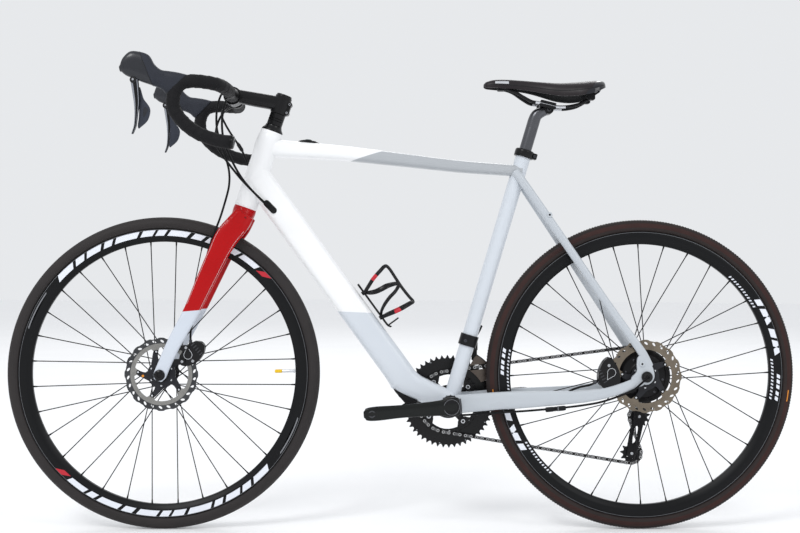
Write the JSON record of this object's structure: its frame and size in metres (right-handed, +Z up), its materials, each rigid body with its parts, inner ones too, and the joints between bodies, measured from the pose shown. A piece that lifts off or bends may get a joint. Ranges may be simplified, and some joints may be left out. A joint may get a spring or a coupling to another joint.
{
  "type": "electric road bike",
  "caption": "Drop-bar electric road bicycle with a battery in its down tube, a rear hub motor, disc brakes, spoked wheels and a two-ring chain drive.",
  "frame": {"origin": "on the ground midway between the two tyres' contact points", "axes": "+X towards the rear wheel, +Y towards the chain side, +Z up"},
  "size_m": [1.7392, 0.4588, 1.0164],
  "materials": {
    "white_paint": "gloss",
    "pale_paint": "gloss",
    "red_paint": "gloss",
    "black_alloy": "satin black",
    "dark_alloy": "satin dark",
    "bare_steel": "satin",
    "disc_steel": "brushed",
    "tyre_rubber": "matt",
    "wound_tape": "matt",
    "hood_rubber": "matt",
    "hose_plastic": "satin",
    "black_plastic": "satin",
    "button_plastic": "satin",
    "saddle_skin": "satin"
  },
  "bodies": {
    "frame": {"head_tube": "white_paint", "top_tube": "white_paint", "down_tube": "white_paint", "seat_tube": "pale_paint", "rear_stays_left": "pale_paint", "rear_stays_right": "pale_paint", "seat_collar": "black_alloy", "battery_pack": "black_plastic", "bottom_bracket_unit": "black_alloy", "bottle_cage": "black_plastic", "controller_housing": "black_plastic", "cable_grommet": "hood_rubber", "front_derailleur_mount": "dark_alloy", "rear_derailleur_body": "dark_alloy", "rear_brake_caliper": "black_alloy", "rear_axle": "dark_alloy", "motor_cable": "hose_plastic", "chain": "bare_steel", "control_hoses": "hose_plastic"},
    "steering": {"fork": "red_paint", "stem": "black_alloy", "headset_spacers": "black_alloy", "handlebar": "black_alloy", "bar_tape_left": "wound_tape", "bar_tape_right": "wound_tape", "hood_left": "hood_rubber", "hood_right": "hood_rubber", "front_brake_caliper": "black_alloy", "front_brake_hose": "hose_plastic", "front_axle": "dark_alloy"},
    "front_wheel": {"front_hub": "black_alloy", "front_rim": "black_alloy", "front_tyre": "tyre_rubber", "front_rotor": "disc_steel"},
    "rear_wheel": {"rear_hub_motor": "black_alloy", "rear_rim": "black_alloy", "rear_tyre": "tyre_rubber", "rear_rotor": "disc_steel"},
    "cassette": {"cassette": "bare_steel"},
    "crank": {"crank_arm_left": "black_alloy", "crank_arm_right": "black_alloy", "chainring_outer": "dark_alloy", "chainring_inner": "dark_alloy"},
    "front_derailleur": {"front_derailleur_cage": "bare_steel"},
    "rear_derailleur_link": {"rear_derailleur_linkage": "dark_alloy"},
    "rear_derailleur_knuckle": {"rear_derailleur_knuckle": "dark_alloy"},
    "rear_derailleur_cage": {"rear_derailleur_cage": "dark_alloy"},
    "guide_pulley": {"guide_pulley": "black_plastic"},
    "tension_pulley": {"tension_pulley": "black_plastic"},
    "seatpost": {"seatpost": "black_alloy"},
    "saddle": {"saddle_clamp": "dark_alloy", "saddle_rails": "bare_steel", "saddle_shell": "black_plastic", "saddle_cover": "saddle_skin"},
    "brake_lever_left": {"brake_lever_left": "dark_alloy"},
    "brake_lever_right": {"brake_lever_right": "dark_alloy"},
    "shift_paddle_left": {"shift_paddle_left": "black_plastic"},
    "shift_paddle_right": {"shift_paddle_right": "black_plastic"},
    "charge_port_cover": {"charge_port_cover": "black_plastic"},
    "power_button": {"power_button": "button_plastic"}
  },
  "joints": [
    {"name": "steering", "type": "hinge", "parent": "frame", "child": "steering", "pos_m": [-0.3498, 0, 0.7084], "axis": [0.3228, 0, 0.9465], "range_deg": [-60, 60], "deforming": ["control_hoses"]},
    {"name": "front_wheel", "type": "hinge", "parent": "steering", "child": "front_wheel", "pos_m": [-0.5266, 0, 0.343], "axis": [0, 1, 0], "continuous": true},
    {"name": "rear_wheel", "type": "hinge", "parent": "frame", "child": "rear_wheel", "pos_m": [0.5266, 0, 0.343], "axis": [0, 1, 0], "continuous": true},
    {"name": "crank", "type": "hinge", "parent": "frame", "child": "crank", "pos_m": [0.1033, 0, 0.2766], "axis": [0, 1, 0], "continuous": true},
    {"name": "cassette", "type": "hinge", "parent": "frame", "child": "cassette", "pos_m": [0.5266, 0, 0.343], "axis": [0, 1, 0], "continuous": true},
    {"name": "front_derailleur", "type": "slide", "parent": "frame", "child": "front_derailleur", "axis": [0, 1, 0], "range_m": [0, 0.007]},
    {"name": "rear_derailleur_link", "type": "hinge", "parent": "frame", "child": "rear_derailleur_link", "pos_m": [0.55, 0.084, 0.296], "axis": [1, 0, 0], "range_deg": [0, 49], "deforming": ["chain"]},
    {"name": "rear_derailleur_knuckle", "type": "hinge", "parent": "rear_derailleur_link", "child": "rear_derailleur_knuckle", "pos_m": [0.55, 0.046, 0.264], "axis": [1, 0, 0], "range_deg": [-49, 0]},
    {"name": "rear_derailleur_cage", "type": "hinge", "parent": "rear_derailleur_knuckle", "child": "rear_derailleur_cage", "pos_m": [0.5306, 0.025, 0.2466], "axis": [0, 1, 0], "range_deg": [-25, 25], "stiffness_Nm_per_rad": 2},
    {"name": "guide_pulley", "type": "hinge", "parent": "rear_derailleur_cage", "child": "guide_pulley", "pos_m": [0.5306, 0.025, 0.2466], "axis": [0, 1, 0], "continuous": true},
    {"name": "tension_pulley", "type": "hinge", "parent": "rear_derailleur_cage", "child": "tension_pulley", "pos_m": [0.5141, 0.025, 0.1635], "axis": [0, 1, 0], "continuous": true},
    {"name": "seatpost", "type": "slide", "parent": "frame", "child": "seatpost", "axis": [0.2823, 0, 0.9593], "range_m": [-0.06, 0.06]},
    {"name": "saddle_tilt", "type": "hinge", "parent": "seatpost", "child": "saddle", "pos_m": [0.32, 0, 0.929], "axis": [0, 1, 0], "range_deg": [-5, 5]},
    {"name": "brake_lever_left", "type": "hinge", "parent": "steering", "child": "brake_lever_left", "pos_m": [-0.559, -0.205, 0.958], "axis": [0, -1, 0], "range_deg": [0, 16], "stiffness_Nm_per_rad": 1.5, "springref_deg": -5.73},
    {"name": "brake_lever_right", "type": "hinge", "parent": "steering", "child": "brake_lever_right", "pos_m": [-0.559, 0.205, 0.958], "axis": [0, -1, 0], "range_deg": [0, 16], "stiffness_Nm_per_rad": 1.5, "springref_deg": -5.73},
    {"name": "shift_paddle_left", "type": "hinge", "parent": "brake_lever_left", "child": "shift_paddle_left", "pos_m": [-0.5508, -0.205, 0.94], "axis": [1, 0, 0], "range_deg": [0, 15], "stiffness_Nm_per_rad": 0.3, "springref_deg": -5.73},
    {"name": "shift_paddle_right", "type": "hinge", "parent": "brake_lever_right", "child": "shift_paddle_right", "pos_m": [-0.5508, 0.205, 0.94], "axis": [-1, 0, 0], "range_deg": [0, 15], "stiffness_Nm_per_rad": 0.3, "springref_deg": -5.73},
    {"name": "charge_port_cover", "type": "hinge", "parent": "frame", "child": "charge_port_cover", "pos_m": [0.0315, 0, 0.283], "axis": [0, -1, 0], "range_deg": [0, 60]},
    {"name": "power_button", "type": "slide", "parent": "frame", "child": "power_button", "axis": [-0.0856, 0, -0.9963], "range_m": [0, 0.001], "stiffness_N_per_m": 300, "springref_m": -0.001}
  ],
  "couplings": [
    {"joint": "cassette", "follows": "crank", "ratio": 1.1333},
    {"joint": "guide_pulley", "follows": "crank", "ratio": -3.0909},
    {"joint": "tension_pulley", "follows": "crank", "ratio": 3.0909},
    {"joint": "rear_derailleur_knuckle", "follows": "rear_derailleur_link", "ratio": -1}
  ]
}
